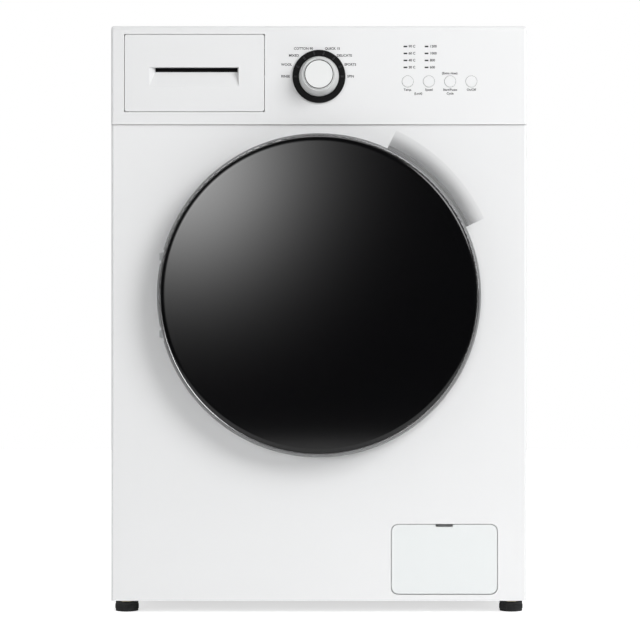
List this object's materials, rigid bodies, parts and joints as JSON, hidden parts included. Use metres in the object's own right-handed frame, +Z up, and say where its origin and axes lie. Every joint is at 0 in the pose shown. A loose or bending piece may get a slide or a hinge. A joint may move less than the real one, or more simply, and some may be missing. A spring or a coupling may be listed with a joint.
{
  "type": "front load washing machine",
  "caption": "Free-standing front loading washing machine with a round glass door, a control fascia with a programme knob and push buttons, a detergent drawer and a service flap.",
  "frame": {"origin": "on the floor under the middle of the machine", "axes": "+X to the machine's right side, +Y from the door to the rear, +Z up"},
  "size_m": [0.597, 0.565, 0.845],
  "materials": {
    "cabinet_paint": "gloss",
    "white_plastic": "satin",
    "worktop_white": "satin",
    "galvanised_steel": "satin",
    "silver_ring": "satin",
    "bright_trim": "polished",
    "dark_glass": "gloss",
    "clear_glass": "gloss",
    "black_gloss": "gloss",
    "lamp_lens": "satin",
    "circuit_board": "satin",
    "grey_plastic": "matte",
    "tub_plastic": "matte",
    "hose_rubber": "matte",
    "gasket_rubber": "matte",
    "concrete": "matte",
    "bearing_steel": "polished",
    "motor_alloy": "satin",
    "drum_steel": "gloss",
    "cast_alloy": "matte",
    "belt_rubber": "matte",
    "spring_steel": "satin",
    "foot_rubber": "matte",
    "valve_plastic": "satin"
  },
  "bodies": {
    "cabinet": {"base_rails": "galvanised_steel", "left_side_panel": "cabinet_paint", "right_side_panel": "cabinet_paint", "rear_panel": "galvanised_steel", "rear_access_cover": "galvanised_steel", "front_panel": "cabinet_paint", "top_rails": "galvanised_steel", "worktop": "worktop_white", "control_fascia": "white_plastic", "dial_ring": "black_gloss", "light_guides": "lamp_lens", "display_board": "circuit_board", "dispenser_housing": "grey_plastic", "control_unit": "grey_plastic", "water_inlet_valve": "valve_plastic", "fixed_hoses": "hose_rubber", "drain_pump": "grey_plastic", "service_bezel": "white_plastic", "rear_fittings": "grey_plastic", "door_lock": "grey_plastic", "hinge_bracket": "galvanised_steel", "door_gasket": "gasket_rubber", "rear_feet": "foot_rubber"},
    "tub": {"tub_front": "tub_plastic", "tub_rear": "tub_plastic", "counterweights": "concrete", "drum_bearings": "bearing_steel", "motor_housing": "motor_alloy", "heater": "bearing_steel", "suspension_springs": "spring_steel", "tub_hoses": "hose_rubber", "drive_belt": "belt_rubber"},
    "drum": {"drum_shell": "drum_steel", "drum_lifters": "white_plastic", "drum_spider": "cast_alloy", "drum_pulley": "cast_alloy"},
    "rotor": {"motor_pulley": "bearing_steel"},
    "left_damper": {"left_damper_cylinder": "grey_plastic"},
    "left_piston": {"left_damper_rod": "galvanised_steel"},
    "right_damper": {"right_damper_cylinder": "grey_plastic"},
    "right_piston": {"right_damper_rod": "galvanised_steel"},
    "door": {"door_frame": "silver_ring", "door_trim_ring": "bright_trim", "door_cover_glass": "dark_glass", "door_inner_frame": "white_plastic", "door_bowl": "clear_glass", "door_hinge": "galvanised_steel"},
    "latch": {"latch_hook": "grey_plastic"},
    "knob": {"program_knob": "white_plastic", "knob_cap": "white_plastic"},
    "temperature_key": {"temperature_button": "white_plastic"},
    "spin_key": {"spin_button": "white_plastic"},
    "start_key": {"start_button": "white_plastic"},
    "power_key": {"power_button": "white_plastic"},
    "drawer": {"drawer_front": "white_plastic", "drawer_tray": "white_plastic"},
    "flap": {"service_flap": "white_plastic"},
    "filter": {"drain_filter": "grey_plastic"},
    "left_foot": {"front_left_foot": "foot_rubber"},
    "right_foot": {"front_right_foot": "foot_rubber"}
  },
  "joints": [
    {"name": "tub_bounce", "type": "slide", "parent": "cabinet", "child": "tub", "axis": [0, 0, 1], "range_m": [-0.01, 0.01], "stiffness_N_per_m": 8000, "springref_m": 0.0391, "deforming": ["door_gasket", "suspension_springs", "tub_hoses"]},
    {"name": "drum_spin", "type": "hinge", "parent": "tub", "child": "drum", "pos_m": [0, 0, 0.457], "axis": [0, 1, 0], "continuous": true},
    {"name": "rotor_spin", "type": "hinge", "parent": "tub", "child": "rotor", "pos_m": [0.04, 0, 0.14], "axis": [0, 1, 0], "continuous": true},
    {"name": "left_damper_swing", "type": "hinge", "parent": "cabinet", "child": "left_damper", "pos_m": [-0.262, 0.025, 0.06], "axis": [0, 1, 0], "range_deg": [-1.8, 1.8]},
    {"name": "left_damper_stroke", "type": "slide", "parent": "left_damper", "child": "left_piston", "axis": [0.5687, 0, 0.8226], "range_m": [-0.009, 0.009]},
    {"name": "right_damper_swing", "type": "hinge", "parent": "cabinet", "child": "right_damper", "pos_m": [0.262, 0.025, 0.06], "axis": [0, 1, 0], "range_deg": [-1.8, 1.8]},
    {"name": "right_damper_stroke", "type": "slide", "parent": "right_damper", "child": "right_piston", "axis": [-0.5687, 0, 0.8226], "range_m": [-0.009, 0.009]},
    {"name": "door_swing", "type": "hinge", "parent": "cabinet", "child": "door", "pos_m": [-0.222, -0.26, 0.457], "axis": [0, 0, -1], "range_deg": [0, 110]},
    {"name": "latch_swing", "type": "hinge", "parent": "door", "child": "latch", "pos_m": [0.196, -0.23, 0.457], "axis": [0, 0, -1], "range_deg": [0, 8], "stiffness_Nm_per_rad": 0.5, "springref_deg": -5.73},
    {"name": "knob_turn", "type": "hinge", "parent": "cabinet", "child": "knob", "pos_m": [0, -0.24, 0.7712], "axis": [0, -1, 0], "continuous": true},
    {"name": "temperature_press", "type": "slide", "parent": "cabinet", "child": "temperature_key", "axis": [0, 1, 0], "range_m": [0, 0.0012], "stiffness_N_per_m": 500, "springref_m": -0.001},
    {"name": "spin_press", "type": "slide", "parent": "cabinet", "child": "spin_key", "axis": [0, 1, 0], "range_m": [0, 0.0012], "stiffness_N_per_m": 500, "springref_m": -0.001},
    {"name": "start_press", "type": "slide", "parent": "cabinet", "child": "start_key", "axis": [0, 1, 0], "range_m": [0, 0.0012], "stiffness_N_per_m": 500, "springref_m": -0.001},
    {"name": "power_press", "type": "slide", "parent": "cabinet", "child": "power_key", "axis": [0, 1, 0], "range_m": [0, 0.0012], "stiffness_N_per_m": 500, "springref_m": -0.001},
    {"name": "drawer_slide", "type": "slide", "parent": "cabinet", "child": "drawer", "axis": [0, -1, 0], "range_m": [0, 0.17]},
    {"name": "flap_tilt", "type": "hinge", "parent": "cabinet", "child": "flap", "pos_m": [0.1801, -0.232, 0.04], "axis": [1, 0, 0], "range_deg": [0, 90]},
    {"name": "filter_turn", "type": "hinge", "parent": "cabinet", "child": "filter", "pos_m": [0.1801, -0.2, 0.0782], "axis": [0, -1, 0], "range_deg": [0, 90]},
    {"name": "left_foot_screw", "type": "slide", "parent": "cabinet", "child": "left_foot", "axis": [0, 0, -1], "range_m": [0, 0.012]},
    {"name": "right_foot_screw", "type": "slide", "parent": "cabinet", "child": "right_foot", "axis": [0, 0, -1], "range_m": [0, 0.012]}
  ],
  "couplings": [
    {"joint": "rotor_spin", "follows": "drum_spin", "ratio": 13.636},
    {"joint": "left_damper_swing", "follows": "tub_bounce", "rad_per_m": -2.8875},
    {"joint": "left_damper_stroke", "follows": "tub_bounce", "ratio": 0.82256},
    {"joint": "right_damper_swing", "follows": "tub_bounce", "rad_per_m": 2.8875},
    {"joint": "right_damper_stroke", "follows": "tub_bounce", "ratio": 0.82256}
  ]
}
